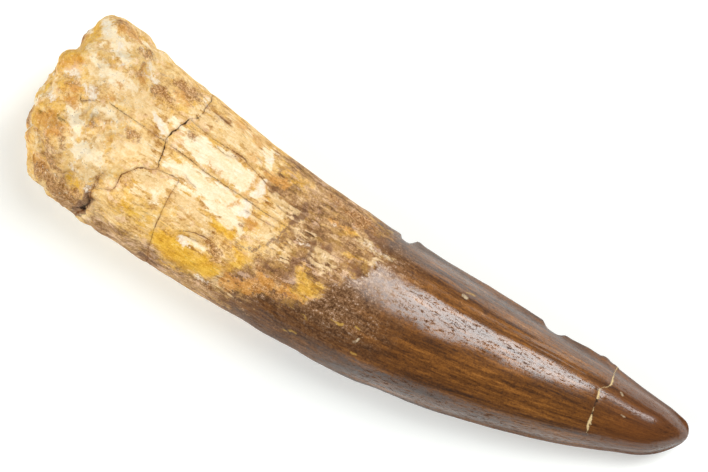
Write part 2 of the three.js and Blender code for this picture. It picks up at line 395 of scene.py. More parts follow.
# ---- The tooth: its stains -------------------------------------------------------------------------------
# Iron, manganese and clay stained the dentine in patches. Each is a brush stroke of points: along, across,
# half its width. What isn't seen from above is stained by chance, in patches of the same size. A few strokes
# also paint shade or highlight, as noted at them.
IVORY = [
    [(23.4, 5.6, 1.5), (26.5, 5.7, 1.7), (30.5, 5.4, 1.9), (33.4, 4.9, 1.6)],
    [(35.9, 5.9, 0.5), (35.9, 4.7, 0.65), (35.8, 3.6, 0.6)],
    [(22.2, 1.7, 0.8), (25.5, 1.7, 1.2), (29.5, 1.3, 1.4), (33, 1.2, 1.4), (35.3, 1, 1.2)],
    [(31, -0.5, 0.8), (33.6, -0.9, 1.3), (35.6, -1.6, 1.3), (37, -2.8, 0.5)],
    [(24, -0.6, 0.35), (28.5, -0.4, 0.5)],
    [(17.3, 7, 0.4), (18.4, 6, 1), (19.4, 5.1, 0.8)],
    [(3.6, 14.7, 0.9), (5.6, 13.6, 1.3), (8.2, 12.6, 1.3)],
    [(5.6, 1.4, 0.9), (7, 0, 1.3), (7.8, -1.2, 0.9)],
    [(4.6, 9.4, 0.7), (9, 8.6, 0.9), (12.4, 8.4, 0.7)],
    [(9.6, -3.4, 1.2), (12.6, -3, 1)],
    [(34.4, 10.4, 0.6), (35.4, 9.2, 0.7)],
    [(19.6, 7.4, 0.6), (21.8, 6.9, 0.5)],
    [(9, 3.4, 0.7), (12.2, 3.3, 0.5)],
    [(30, -7.3, 0.7), (33.6, -7.2, 0.55)],
    [(22.9, -3.4, 0.6), (23.4, -4.2, 0.5)],
]
CREAM = [
    [(5, 8.4, 1.2), (8, 8.3, 1.6), (12, 7.8, 1.7), (16, 6.8, 1.4)],
    [(9.2, -2.6, 1.6), (12, -3.4, 2.2), (12, -5.6, 1.6)],
    [(15.5, -0.6, 1.6), (18.5, 1.8, 1.6)],
    [(4, 10.8, 0.9)],
    [(1.6, 2, 1)],
    [(2.4, -5.4, 0.8), (3.4, -5.6, 0.7)],
    [(20.5, -3, 1.6), (23.5, -2, 1.5)],
    [(25.5, -2, 1.3), (29, -2.4, 1.5), (32, -3.8, 1)],
    [(23, 10.3, 0.9), (28, 10.2, 1.5), (33, 9.8, 1.2)],
    [(9.2, 3.6, 1.3), (13, 3.2, 1.1)],
    [(37.4, -10.4, 0.5), (39.2, -10.6, 0.6)],
    [(38, 4.4, 1.2), (40, 4.4, 1.3), (41.8, 4.3, 1)],
    [(38.6, 0.4, 1.3), (41, -0.4, 1.1)],
    [(43.9, -0.6, 0.8), (44.4, -2, 0.7)],
    [(44, 2.4, 0.6), (46.4, 2.4, 0.5)],
    [(47.6, 1, 0.8), (50.2, 0.6, 0.9)],
    [(53.4, 5.8, 0.25), (58.8, 5.6, 0.3)],
    # This stroke along the crease is partly a cream flake and partly a painted highlight.
    [(56, 4.35, 0.2), (61, 4.3, 0.2)],
]
CHALK = [
    [(3.4, 15.1, 0.35), (4.2, 14.2, 0.4)],
    [(7, 13, 0.5), (8, 12.2, 0.4)],
    [(8.8, 10.9, 0.25)],
    [(12.4, 13.3, 0.2), (13, 12.4, 0.3)],
    [(13.6, 11.9, 0.3), (14.4, 11.2, 0.35)],
    [(17.4, 6.7, 0.4), (18.3, 6, 0.7), (19.1, 5.3, 0.5)],
    [(6.4, 5.7, 0.4), (7.1, 4.7, 0.6), (7.6, 4, 0.4)],
    [(2.8, 5.8, 0.35), (4.4, 5.6, 0.4)],
    [(1.4, 2.4, 0.3), (2.4, 1.2, 0.3)],
    [(8.5, 2.2, 0.22)],
    [(9.5, 1.2, 0.22)],
    [(11.7, 2.2, 0.22)],
    [(10.2, -6.2, 0.4)],
    [(14.1, -6.9, 0.2), (14.2, -8.2, 0.25)],
    [(29.6, -7.4, 0.6), (30.8, -7.8, 0.4)],
    [(34, -11.2, 0.2), (36.2, -11.1, 0.25)],
    [(22.6, 12.7, 0.25), (22.7, 11.8, 0.25)],
    [(35.9, 6.1, 0.3), (36, 4, 0.35)],
    [(35.2, 1.9, 0.4), (35.7, 0.6, 0.5)],
    [(45.1, 1.15, 0.25), (46.2, 1, 0.3)],
    [(48.9, 6.4, 0.12), (48.8, 5.8, 0.12)],
    [(35.3, 9.6, 0.3)],
    [(54, 5.75, 0.1), (58.6, 5.6, 0.15)],
    [(60.4, -6.5, 0.12), (59.8, -7.8, 0.2)],
    [(70.4, 6.5, 0.14), (71.3, 6.5, 0.18)],
    [(98.2, 5.7, 0.08), (98.8, 5.4, 0.12)],
    [(100, 2.8, 0.04), (100.9, 2.75, 0.06)],
]
OCHRE = [
    [(26.4, -8.6, 1.1), (28.4, -9.4, 1.8), (33.5, -9.4, 2), (35.8, -8.6, 1.1)],
    [(32.6, -2.9, 0.6), (35.6, -2.9, 0.8)],
    [(37.6, -4.8, 0.3), (39.2, -6.2, 0.6), (38.4, -7.4, 0.3)],
    [(47.6, -2.6, 0.8), (49.4, -4.8, 1.5), (51.2, -3.6, 0.7)],
    [(19.2, -7.2, 0.1), (22.6, -7.8, 0.2)],
    [(10.6, -7.8, 0.5), (12.9, -8.4, 0.5)],
    [(2.6, 11.4, 0.5), (2.6, 14, 0.5)],
    [(1.2, 7.6, 0.6), (3, 8.4, 0.6)],
    [(37.6, 4, 0.3)],
    [(38.5, 9, 0.3), (41.5, 8.6, 0.4)],
    [(50.4, 6.3, 0.2), (52, 6.4, 0.2)],
    [(52, 3, 0.2), (54.6, 3.2, 0.2)],
    [(52.4, 9.5, 0.15), (57, 9.4, 0.15)],
    [(50.7, -8.3, 0.1), (51.6, -8.3, 0.1)],
    [(55.2, -6.75, 0.16), (57.1, -6.4, 0.22)],
    [(59, -5.75, 0.2), (59.7, -5.8, 0.14)],
    [(50, -11.1, 0.1), (51.6, -11, 0.12)],
    [(60.2, -9.3, 0.14), (61.2, -9.3, 0.1)],
    [(70.6, 7.1, 0.06), (72, 7.4, 0.08)],
]
ORANGE = [
    [(2.4, -2.6, 0.9), (3.6, -1.4, 1.3), (4.6, -2.6, 1.2)],
    [(3.9, 4.3, 0.7), (5.6, 4.2, 0.5)],
    [(3.9, 2.2, 0.5), (5.6, 2.1, 0.5)],
    [(1, 6.8, 0.5), (2.6, 8, 0.6)],
    [(10, 8.2, 0.3)],
    [(9, 5.8, 0.4), (10.4, 5.8, 0.4)],
    [(12.3, 12, 0.4), (13, 10.4, 0.5)],
    [(18.6, 11.6, 0.7), (20.4, 11, 0.5)],
    [(12.8, 0.3, 0.25), (13.1, -0.5, 0.25)],
    [(6, 15.6, 0.6), (9.6, 15.4, 0.6)],
    [(4.6, -8, 0.6), (6.4, -8.6, 0.7)],
    [(22.4, 5.6, 0.4), (22.8, 4.8, 0.35)],
    [(27.2, 4, 0.25), (29.6, 4, 0.35)],
    [(34.8, 6.2, 0.3), (34.9, 4.9, 0.25), (34.8, 3.2, 0.3)],
    [(34, 2.2, 0.25), (33.7, 1.3, 0.25), (33.3, 0.4, 0.25)],
    [(36.9, 5.2, 0.35), (37.1, 4.2, 0.35)],
    [(28.4, 12, 0.4), (29.2, 11.7, 0.3)],
    [(32, 11.2, 0.4), (33.3, 10.8, 0.4)],
    [(32.2, 8.9, 0.25), (33.2, 8.7, 0.25)],
    [(36, 7.6, 0.4), (38.6, 7.6, 0.7)],
    [(36.9, 0.3, 0.4), (38, -0.7, 0.4)],
    [(46.6, -6.4, 0.8), (49.6, -6.6, 0.5)],
    [(42.6, -6.4, 1), (44.6, -6.8, 0.9)],
    [(47.6, 6.4, 0.3), (51, 6.6, 0.3)],
    [(39, -9.4, 1.2), (42.6, -8.6, 1.1), (45, -7.8, 0.6)],
]
RUST = [
    [(5.6, -2.4, 0.3), (6.6, -3.6, 0.6), (7.2, -4.8, 0.5)],
    [(5.6, -6.4, 0.5), (7.2, -7.2, 0.7), (8.2, -7.8, 0.4)],
    [(9.2, 1.3, 0.2), (9.6, 0.6, 0.5), (9.4, -0.2, 0.3)],
    [(17.6, 12.6, 0.7), (20.8, 12, 0.8)],
    [(14.6, 2.2, 0.6), (16, 2.6, 0.6)],
    [(4.8, 15.9, 0.2), (7, 16.3, 0.3), (9.7, 16, 0.3)],
    [(10.8, 14.4, 0.5), (11.6, 14, 0.5)],
    [(12.2, 12.6, 0.3), (11.8, 11, 0.4)],
    [(14.9, 9.8, 0.8), (16.4, 10.2, 0.9), (17.8, 9.6, 0.7)],
    [(8.6, -10, 1.4), (10.6, -10.4, 1.7), (12.9, -10.6, 1.2)],
    # This stroke in the notch at the convex edge is partly rust and partly painted shade.
    [(4.6, -9, 0.8), (6.6, -9.4, 1.1)],
    [(14.2, -5.4, 0.3), (14.3, -7.2, 0.5), (14.6, -9, 0.6)],
    [(2.2, -4.2, 0.2), (5, -4.4, 0.3), (5.6, -5.4, 0.3)],
    [(2.4, 4.9, 0.15), (5.4, 5, 0.2)],
    [(23, 7.4, 0.35), (23.8, 6.6, 0.3)],
    [(23.8, 11.7, 0.15), (26.6, 11.3, 0.25)],
    [(29.8, 7.8, 0.15), (31, 7.6, 0.25), (32.2, 7.5, 0.2)],
    [(33.6, -5.8, 0.7), (34.8, -6.6, 0.9), (35.5, -7.2, 0.5)],
    [(36.7, -10.4, 0.35), (36.9, -11.4, 0.35)],
    [(35.4, 10.9, 0.25), (36, 10.5, 0.3)],
    [(35.9, -0.9, 0.2), (36.6, -1.2, 0.3)],
    [(46.4, -1.7, 0.35)],
    [(41, -5.2, 0.2), (45.6, -5.2, 0.15)],
    [(42.6, -8.4, 0.4), (46.4, -7.6, 0.4)],
    [(46, 9.2, 0.4), (50, 8.4, 0.6), (54, 8.2, 0.7)],
    [(14.6, 12.6, 0.12), (16.2, 12.4, 0.15), (16.6, 11.8, 0.12)],
]
UMBER = [
    [(43.1, 6.3, 0.55), (43.1, 4.9, 0.45), (42.9, 3.9, 0.5)],
    [
        (42.7, 3, 0.3), (42.4, 2.2, 0.35), (42.1, 1, 0.2), (41.8, -0.4, 0.3), (40.8, -1.9, 0.2),
        (39.8, -3.1, 0.25), (38, -3.9, 0.1), (36.4, -4.5, 0.05),
    ],
    [
        (45.2, 1.9, 0.2), (47.2, 1.8, 0.3), (47.3, 0.3, 0.2), (46.5, -1.6, 0.45), (46.1, -3.3, 0.2),
        (46, -4.6, 0.2), (47, -6, 0.1), (47.6, -7.4, 0.1),
    ],
    [(42, -4, 0.05), (44, -4.5, 0.1), (46, -4.6, 0.1)],
    [(49.2, 3.2, 0.25), (49.5, 2.5, 0.4)],
    [(53.6, 2, 0.3), (55.2, 1.6, 0.3)],
    [(25.2, -12.5, 0.25), (26.9, -12.7, 0.3)],
    [(14.4, -8.4, 0.4), (14.5, -9.6, 0.8), (14, -11.4, 1)],
    [(53.6, 7.4, 0.4), (56, 7.4, 0.8), (58.6, 7.2, 1)],
    [(35.6, 6.6, 0.25)],
]
BLACK = [
    # The first two strokes lie in the deepest hollows, at the break and at the convex edge, and are painted
    # shade in them.
    [(2.05, -1.3, 0.28)],
    [(14.6, -8.2, 0.02), (14.9, -9.4, 0.08), (14.8, -10.6, 0.15), (14.1, -11.2, 0.35), (13.5, -11.3, 0.2)],
    [(4.8, -0.55, 0.04), (5.5, -0.9, 0.05)],
    [(11.3, 14.4, 0.12)],
    [(22.7, 9.6, 0.12)],
]
# The crown's enamel starts here, read as across, along. Nearer the concave edge it thins out gradually.
ENAMEL_EDGE = [
    (-14, 40), (-11.6, 41), (-10.7, 41.2), (-9.3, 42.6), (-8.5, 45), (-7.9, 47.4), (-7.4, 48.8),
    (-6.4, 50.4), (-5.4, 51.8), (-4.3, 52.3), (-2.3, 52.3), (-1, 53.2), (0.4, 54.4), (1.4, 55.8),
    (3, 57), (5.5, 57.4), (7, 57), (10, 54), (12, 53),
]
ENAMEL_UNDER = 50


# Stains creep along grains and fibres, so their outlines stray from the strokes: far on the granular root,
# less on the plates past the main crack, and hardly at all on the enamel.
plates = smooth_step(17, 21, along) * smooth_step(37, 33, along) * smooth_step(11, 9, across)
stray = 1 - 0.5 * plates - 0.8 * smooth_step(56, 62, along)
stray_along = along + stray * (0.9 * natural(form, 2.4, 31) + 0.35 * natural(form, 0.8, 32))
stray_across = across + stray * (0.7 * natural(form, 2, 33) + 0.3 * natural(form, 0.7, 34))


def reach(strokes):
    """How far inside the nearest brush stroke each point lies, in millimetres, and below nothing outside."""
    inside = np.full(along.shape, -FAR)
    for stroke in strokes:
        for start, end in zip(stroke, stroke[1:] or stroke):
            off, _, half_width = beside_segment(stray_along, stray_across, start, end)
            inside = np.maximum(inside, half_width - off)
    return inside


def stain(strokes, patch_size, seed, rarity):
    """The strokes where the tooth faces up, and chance patches of that size everywhere else."""
    chance = (natural(form, patch_size, seed) - rarity) * patch_size
    return np.clip(chance + (reach(strokes) - chance) * facing_up, -FAR, FAR)


crown_share = smooth_step(34, 46, along)
enamel_share = smooth_step(44, 56, along)
ivory = stain(IVORY, 5, 1, 0.25 + 2 * crown_share)
cream = stain(CREAM, 6, 2, 0.05 + 2 * crown_share)
chalk = stain(CHALK, 2.2, 3, 0.6 + 2 * crown_share)
ochre = stain(OCHRE, 5, 4, 0.3 + enamel_share)
orange = stain(ORANGE, 3, 5, 0.4 + enamel_share)
rust = stain(RUST, 3, 6, 0.42 + enamel_share)
umber = stain(UMBER, 3.4, 7, 0.68)
black = stain(BLACK, 1.5, 8, 0.85 + enamel_share)

edge_across, edge_along = np.array(ENAMEL_EDGE).T
thinning = 1 + 2.2 * smooth_step(3, 7, across) + 2.8 * smooth_step(-6.5, -9.5, across)
enamel_on_top = (stray_along - np.interp(stray_across, edge_across, edge_along)) / thinning
enamel_under = along - ENAMEL_UNDER - 5 * natural(form, 7, 9)
enamel = np.clip(enamel_under + (enamel_on_top - enamel_under) * top_side, -9, 9)

# The dentine darkens from tan to brown before the enamel starts, later on the convex side.
brown_start = 37 + 5 * smooth_step(6.5, 2, across) - 4.5 * smooth_step(-1, -8, across)
brown_spread = 2 + 2 * smooth_step(5, -2, across)
brown_creep = stray_along + 1.2 * natural(form, 4.5, 37) * (1 - plates)
brown_on_top = smooth_step(-1, 1, (brown_creep - brown_start) / brown_spread)
# Along the convex edge the brown is partly the dentine's own and partly painted shade, where the side turns
# down, away from the key light.
edge_brown_and_shade = 0.8 * smooth_step(-9.2, -11.7, stray_across) * smooth_step(14, 17, along)
brown_on_top = np.maximum(brown_on_top, edge_brown_and_shade)
brown_under = smooth_step(32, 46, along + 4 * natural(form, 6, 10))
brown = brown_under + (brown_on_top - brown_under) * top_side

# ---- The tooth: its broken and weathered surface ---------------------------------------------------------
# The broken root is granular, the dentine fibrous, and the enamel smooth with faint flutes. Cracks are cut
# in, flakes are missing beside them, and the tooth is worn flat where it rests.

# Hollows where flakes and crumbs fell out: a stroke, as for the stains, and its depth.
HOLLOWS = [
    ([(2.05, -1.3, 0.35)], 0.7),
    ([(14.8, -9.6, 0.15), (14.7, -10.7, 0.25), (13.9, -11.3, 0.35)], 0.6),
    ([(9.1, 1.9, 0.5), (9.7, 0.8, 0.6)], 0.35),
    ([(3.6, -1.6, 1.3), (4.6, -2.8, 1)], 0.3),
    ([(17.8, 6.3, 0.5), (19, 5.5, 0.8)], 0.16),
    ([(29.6, -7, 0.8), (31.6, -6.7, 0.8), (33.6, -6.6, 0.7)], 0.22),
    ([(37.6, -10.5, 0.8), (39, -10.6, 0.7)], 0.14),
    ([(30.3, 7.6, 0.15), (32, 7.5, 0.15)], 0.12),
    ([(25.4, -12.4, 0.3), (26.9, -12.7, 0.3)], 0.3),
    ([(6.2, -10, 0.2), (7.6, -10.4, 0.5)], 0.5),
    ([(12.6, 12.2, 0.4), (13, 11.2, 0.3)], 0.25),
    ([(14.8, 9.8, 0.6), (17.8, 10, 0.5)], 0.15),
    ([(4.2, 4.6, 0.2), (6, 5, 0.2)], 0.25),
]
# How far wear took each edge back from the grown form: along, depth. Below nothing, crust stands on it.
CONVEX_WEAR = [
    (2, 0), (3, -0.2), (4, 0.8), (6, 0), (7.5, 0.5), (9, -0.2), (11.5, -0.3), (16, 0.4),
    (19.5, 0.4), (22, 0), (63, 0), (66, 0.25), (74, 0), (90, -0.1), (97, -0.1),
    (103, 0), (108.5, -0.15),
]
CONCAVE_WEAR = [
    (2, 0), (3, -0.4), (6, -0.3), (8, 0), (11, 0.6), (14.5, 0.2), (16, -0.4), (20, -0.35),
    (25, 0.1), (29, -0.2), (35, 0), (39, -0.3), (52, -0.3), (56, 0), (59.4, 0),
    (60.1, -0.5), (62, -0.15), (66, -0.1), (73, -0.35), (80, -0.35), (88, -0.1), (91, -0.4),
    (93, -0.4), (94.2, -0.95), (95.4, -0.7), (96, -0.55), (96.6, -0.3), (101, -0.1), (105, 0),
    (108, -0.25), (109.6, -0.5),
]
WEAR_NARROWNESS = 8
KEEL_WEAR_NARROWNESS = 60  # on the crown, only the keel itself is worn
# A crease runs lengthwise down the crown, and the side towards the concave edge falls away from it.
CREASE = [(58, 4.5), (70, 4.2), (78, 4.3), (88, 5), (96, 5.4)]
CREASE_DEPTH = 0.2
CREASE_FALL = 1.5
CREASE_GONE = 4.4


def read_off(places):
    """What a list of places along the tooth gives at each of its points."""
    return np.interp(along, *np.array(places).T)


def groove(crack, beyond, depth):
    """A cut as deep as that along a crack, with sides that slope for that far beyond its edges."""
    return -depth * (1 - smooth_step(0, beyond, np.abs(crack[..., 0]) - crack[..., 1]))


broken = 1 - smooth_step(0.9, 0.995, share + (station > 50))
granular = 1 - smooth_step(11, 21, along)
fibrous = smooth_step(8, 20, along) * (1 - smooth_step(50, 60, along))
glossy = smooth_step(48, 60, along)
relief = broken * (0.3 * natural(form, 2.6, 21, 4) + 0.16 * natural(form, 0.9, 22))
crumbly = granular * (1 - 0.7 * smooth_step(12, 15, across))
relief += crumbly * (0.14 * natural(form, 1.7, 23, 4) + 0.09 * natural(form, 0.6, 24, 2))
relief -= crumbly * 0.25 * smooth_step(0.35, 0.7, natural(form, 0.9, 35))
relief += fibrous * (0.05 * natural(growth, 0.7, 25) + 0.04 * natural(form, 1.3, 26))
relief += glossy * (0.005 * natural(growth, 1.3, 27, 2) + 0.005 * natural(form, 0.9, 28, 2))
relief += glossy * (1 - facing_up) * (0.03 * natural(growth, 1.6, 38) + 0.025 * natural(form, 1.4, 39))
past_crease = across - read_off(CREASE)
crease_drop = np.clip(past_crease / CREASE_FALL, 0, 1) * smooth_step(CREASE_GONE, CREASE_FALL, past_crease)
creased = smooth_step(55, 62, along) * smooth_step(96, 86, along) * facing_up
relief -= CREASE_DEPTH * crease_drop * creased
relief += groove(across_cracks, 0.2, 0.16) + groove(branched_cracks, 0.18, 0.06)
relief += groove(along_cracks, 0.18, 0.04) + groove(beside_cracks, 0.18, 0.04)
relief += groove(filled_crack, 0.25, 0.06)
for stroke, depth in HOLLOWS:
    relief -= depth * smooth_step(-0.2, 0.35, reach([stroke])) * top_side
surface = form + normals * relief[..., None]
narrowness = WEAR_NARROWNESS + (KEEL_WEAR_NARROWNESS - WEAR_NARROWNESS) * glossy
convex_wear = read_off(CONVEX_WEAR) * np.clip(-np.cos(angle), 0, 1) ** narrowness
concave_wear = read_off(CONCAVE_WEAR) * np.clip(np.cos(angle), 0, 1) ** narrowness
near_edge = np.where(along > LENGTH / 2, smooth_step(0, 0.7, share), smooth_step(0.5, 1, share))
surface[..., 1] += (convex_wear - concave_wear) * near_edge
surface[..., 2] = np.maximum(surface[..., 2], 0)

rings, columns = share.shape
number = np.arange(rings * columns).reshape(rings, columns)
here, there = number[:-1], number[1:]
quads = np.stack([here, np.roll(here, -1, 1), np.roll(there, -1, 1), there], axis=-1).reshape(-1, 4)
break_middle, tip_point = rings * columns, rings * columns + 1
break_fan = [(break_middle, b, a) for a, b in zip(number[0], np.roll(number[0], -1))]
tip_fan = [(tip_point, a, b) for a, b in zip(number[-1], np.roll(number[-1], -1))]


def per_vertex(grid):
    """Values of the grid of rings as rows, with the middle of the break and the tip added."""
    ends = [grid[0].mean(axis=0)], [grid[-1].mean(axis=0)]
    return np.concatenate([grid.reshape(rings * columns, -1), *ends])


tooth_mesh = bpy.data.meshes.new("weathered_tooth")
tooth_mesh.from_pydata((per_vertex(surface) * MM).tolist(), [], quads.tolist() + break_fan + tip_fan)
tooth_mesh.shade_smooth()
surface_notes = {
    "growth": growth,
    "pale_stains": np.stack([ivory, cream, chalk], axis=-1),
    "warm_stains": np.stack([ochre, orange, rust], axis=-1),
    "dark_stains": np.stack([umber, black, brown], axis=-1),
    "crown": np.stack([enamel, along, across], axis=-1),
}
crack_notes = {
    "cracks_across": across_cracks,
    "cracks_branched": branched_cracks,
    "cracks_along": along_cracks,
    "cracks_beside": beside_cracks,
    "hairlines": hairlines,
    "filled_crack": filled_crack,
}
# A crack takes two of a note's three values. The third says how granular the dentine is.
for name, crack in crack_notes.items():
    surface_notes[name] = np.concatenate([crack, granular[..., None]], axis=-1)
for name, values in surface_notes.items():
    note = tooth_mesh.attributes.new(name, "FLOAT_VECTOR", "POINT")
    note.data.foreach_set("vector", per_vertex(values).astype(np.float32).ravel())

tooth = bpy.data.objects.new("weathered_tooth", tooth_mesh)
bpy.context.scene.collection.objects.link(tooth)

# ---- The tooth: its finish -------------------------------------------------------------------------------
# Matte, fibrous dentine in tan, cream and ivory, stained ochre, rust and umber, and glossy dark brown enamel
# with amber growth streaks and a finely wrinkled skin.


def paint(red, green, blue):
    """A colour given as it looks on a screen, 0 to 255, for a shader."""
    shares = [c / 255 for c in (red, green, blue)]
    return tuple(s / 12.92 if s <= 0.04045 else ((s + 0.055) / 1.055) ** 2.4 for s in shares) + (1.0,)


def put(tree, kind, inputs=(), **settings):
    """Adds a shader node with those settings, and sets or links its inputs."""
    made = tree.nodes.new("ShaderNode" + kind)
    for name, value in settings.items():
        setattr(made, name, value)
    for name, value in dict(inputs).items():
        if isinstance(value, bpy.types.NodeSocket):
            tree.links.new(value, made.inputs[name])
        else:
            made.inputs[name].default_value = value
    return made


def calc(operation, *values):
    """A calculation, in the node tree that its values come from."""
    tree = next(value.id_data for value in values if isinstance(value, bpy.types.NodeSocket))
    return put(tree, "Math", enumerate(values), operation=operation).outputs[0]


def times(value, *others):
    """Values multiplied together."""
    for other in others:
        value = calc("MULTIPLY", value, other)
    return value


def total(value, *parts):
    """A value with a share of each of the other values added to it."""
    for part, part_share in parts:
        value = calc("MULTIPLY_ADD", part, part_share, value)
    return value


def ease(value, low, high, to_low=0, to_high=1):
    """Eases from one value to another as the input goes from low to high."""
    limits = {"Value": value, "From Min": low, "From Max": high, "To Min": to_low, "To Max": to_high}
    return put(value.id_data, "MapRange", limits, interpolation_type="SMOOTHSTEP").outputs["Result"]


def scale(value, low, high, to_low, to_high):
    """Goes straight from one value to another as the input goes from low to high, and on past them."""
    limits = {"Value": value, "From Min": low, "From Max": high, "To Min": to_low, "To Max": to_high}
    return put(value.id_data, "MapRange", limits, clamp=False).outputs["Result"]


def cover(under, over, mask):
    """One colour laid over another where the mask is."""
    return put(mask.id_data, "Mix", {0: mask, 6: under, 7: over}, data_type="RGBA").outputs[2]


def unevenness(where, size, detail=3, roughness=0.55):
    """Noise from about -1 to 1, in patches of that size in millimetres."""
    grain = {"Vector": where, "Scale": 1 / size, "Detail": detail, "Roughness": roughness}
    return scale(put(where.id_data, "TexNoise", grain).outputs["Fac"], 0.25, 0.75, -1, 1)


def shades(value, stops):
    """A colour that runs from paint to paint as the value goes from -1 to 1."""
    ramp = put(value.id_data, "ValToRGB", {"Fac": scale(value, -1, 1, 0, 1)})
    elements = ramp.color_ramp.elements
    elements[0].color = paint(*stops[-1])
    elements[1].color = paint(*stops[1])
    for at in set(stops) - {-1, 1}:
        elements.new((at + 1) / 2).color = paint(*stops[at])
    return ramp.outputs["Color"]


def group(name, inputs, outputs):
    """An empty shader node group with those sockets, and its input and output nodes."""
    made = bpy.data.node_groups.new(name, "ShaderNodeTree")
    for socket in inputs:
        made.interface.new_socket(socket, in_out="INPUT", socket_type="NodeSocketFloat")
    for socket in outputs:
        made.interface.new_socket(socket, in_out="OUTPUT", socket_type="NodeSocketFloat")
    return made, made.nodes.new("NodeGroupInput").outputs, made.nodes.new("NodeGroupOutput").inputs


# A stain's mask, from how far inside its edge a point lies.
stain_edge, given, result = group("Stain edge", ["Inside", "Ragged", "Raggedness", "Softness"], ["Mask"])
shifted = total(given["Inside"], (given["Ragged"], given["Raggedness"]))
from_edge = calc("DIVIDE", shifted, given["Softness"])
stain_edge.links.new(ease(from_edge, -1, 1), result["Mask"])

# A crack's dark line and the stain that soaked in beside it, from the distance to its middle.
CRACK_WANDER = 0.11
CRACK_OPEN = 0.7  # share of its width that is dark, which grows and shrinks along it
CRACK_OPEN_VARIES = 0.5
SOAK_REACH = 0.45
crack_sockets = ["Distance", "Half Width", "Wander", "Softness"]
crack_line, given, result = group("Crack line", crack_sockets, ["Line", "Soak"])
wandering = total(given["Distance"], (given["Wander"], CRACK_WANDER))
opening = times(given["Half Width"], total(CRACK_OPEN, (given["Wander"], CRACK_OPEN_VARIES)))
inside = calc("SUBTRACT", opening, calc("ABSOLUTE", wandering))
from_edge = calc("DIVIDE", inside, given["Softness"])
crack_line.links.new(ease(from_edge, -1, 1), result["Line"])
crack_line.links.new(ease(inside, -SOAK_REACH, 0.05), result["Soak"])

finish = bpy.data.materials.new("fossil dentine and enamel")
finish.use_nodes = True
skin = finish.node_tree
skin.nodes.clear()


def read(name):
    """The three values of one of the surface's notes."""
    note = put(skin, "Attribute", attribute_name=name).outputs["Vector"]
    return put(skin, "SeparateXYZ", {0: note}).outputs


def stained(inside, ragged, raggedness, softness):
    sockets = {"Inside": inside, "Ragged": ragged, "Raggedness": raggedness, "Softness": softness}
    return put(skin, "Group", sockets, node_tree=stain_edge).outputs["Mask"]


def cracked(name, softness):
    distance, half_width, _ = read(name)
    sockets = {"Distance": distance, "Half Width": half_width, "Wander": wander, "Softness": softness}
    made = put(skin, "Group", sockets, node_tree=crack_line)
    return made.outputs["Line"], made.outputs["Soak"]


def vector_calc(operation, *values):
    return put(skin, "VectorMath", enumerate(values), operation=operation).outputs[0]


place = vector_calc("MULTIPLY", put(skin, "TexCoord").outputs["Object"], (1 / MM, 1 / MM, 1 / MM))
height_in = put(skin, "SeparateXYZ", {0: place}).outputs[2]
grown = put(skin, "Attribute", attribute_name="growth").outputs["Vector"]

blotch = unevenness(place, 3, 6, 0.6)
mottle = unevenness(place, 1, 6, 0.72)
speck = unevenness(place, 0.36, 4, 0.7)
grit = unevenness(place, 0.17, 2)
fibre = unevenness(grown, 0.5, 6, 0.68)
thread = unevenness(grown, 0.22, 3)
band = unevenness(grown, 1.5, 5, 0.6)
ragged = unevenness(place, 1.5, 8, 0.72)
coarse = calc("ADD", ragged, speck)

ivory_in, cream_in, chalk_in = read("pale_stains")
ochre_in, orange_in, rust_in = read("warm_stains")
umber_in, black_in, brown_in = read("dark_stains")
enamel_in, along_in, across_in = read("crown")
granular_in = read("filled_crack")[2]

SWIRL = 1.6  # how far and how closely a fragment's edge wanders, in fragments


def fragments(where, size):
    """Cells of that size with wandering edges, each with a tone and a hue of its own from -1 to 1."""
    swirl = put(skin, "TexNoise", {"Vector": where, "Scale": SWIRL / size, "Detail": 5, "Roughness": 0.65})
    centred = vector_calc("SUBTRACT", swirl.outputs["Color"], (0.5, 0.5, 0.5))
    moved = vector_calc("MULTIPLY_ADD", centred, (SWIRL * size, SWIRL * size, SWIRL * size), where)
    cells = put(skin, "TexVoronoi", {"Vector": moved, "Scale": 1 / size}).outputs["Color"]
    tone, hue, _ = put(skin, "SeparateXYZ", {0: cells}).outputs
    return scale(tone, 0, 1, -1, 1), scale(hue, 0, 1, -1, 1)


def blend(value, other, mask):
    """Goes from one value to the other as the mask goes from 0 to 1."""
    return total(value, (calc("SUBTRACT", other, value), mask))


# Dentine: tan to cream, in granular fragments at the break, with lengthwise fibres further on.
fibrous_in = calc("SUBTRACT", 1, granular_in)
lengthwise = vector_calc("MULTIPLY", place, (0.28, 1, 1))
patch, patch_hue = fragments(place, 1.5)
crumb, crumb_hue = fragments(place, 0.6)
splinter, splinter_hue = fragments(lengthwise, 0.5)
chip = blend(splinter, crumb, granular_in)
chip_hue = blend(splinter_hue, crumb_hue, granular_in)
fine_tone = total(0, (speck, 0.5), (chip, 0.3), (grit, 0.25))
tone = total(0, (blotch, 0.4), (mottle, 0.35), (times(fibre, fibrous_in), 0.3))
tone = total(calc("ADD", fine_tone, tone), (patch, 0.2), (granular_in, 0.1))
dentine = shades(tone, {
    -1: (146, 96, 42), -0.5: (198, 152, 88), 0: (228, 191, 130), 0.45: (242, 215, 162), 1: (253, 241, 212),
})
umber_dentine = shades(tone, {
    -1: (88, 60, 40), -0.4: (138, 102, 68), 0.1: (180, 142, 98), 0.5: (210, 174, 130), 1: (238, 214, 178),
})
brown_mask = total(brown_in, (ragged, 0.4), (fibre, 0.35))
colour = cover(dentine, umber_dentine, ease(brown_mask, 0.25, 0.75))


def browning(on_tan, on_brown):
    """Eases from one value on tan dentine to another on brown."""
    return ease(brown_mask, 0.2, 0.8, on_tan, on_brown)


# A golden wash round the ochre stains and over the broken end.
golden = shades(total(fine_tone, (mottle, 0.5), (fibre, 0.35)), {
    -1: (164, 106, 36), -0.3: (214, 160, 70), 0.3: (236, 190, 88), 1: (250, 222, 140),
})
golden_reach = calc("MAXIMUM", ochre_in, scale(along_in, 2, 9, 0.8, -2.2))
golden_mask = stained(golden_reach, calc("ADD", ragged, blotch), 1.8, 0.9)
colour = cover(colour, golden, times(golden_mask, browning(0.75, 0.3)))

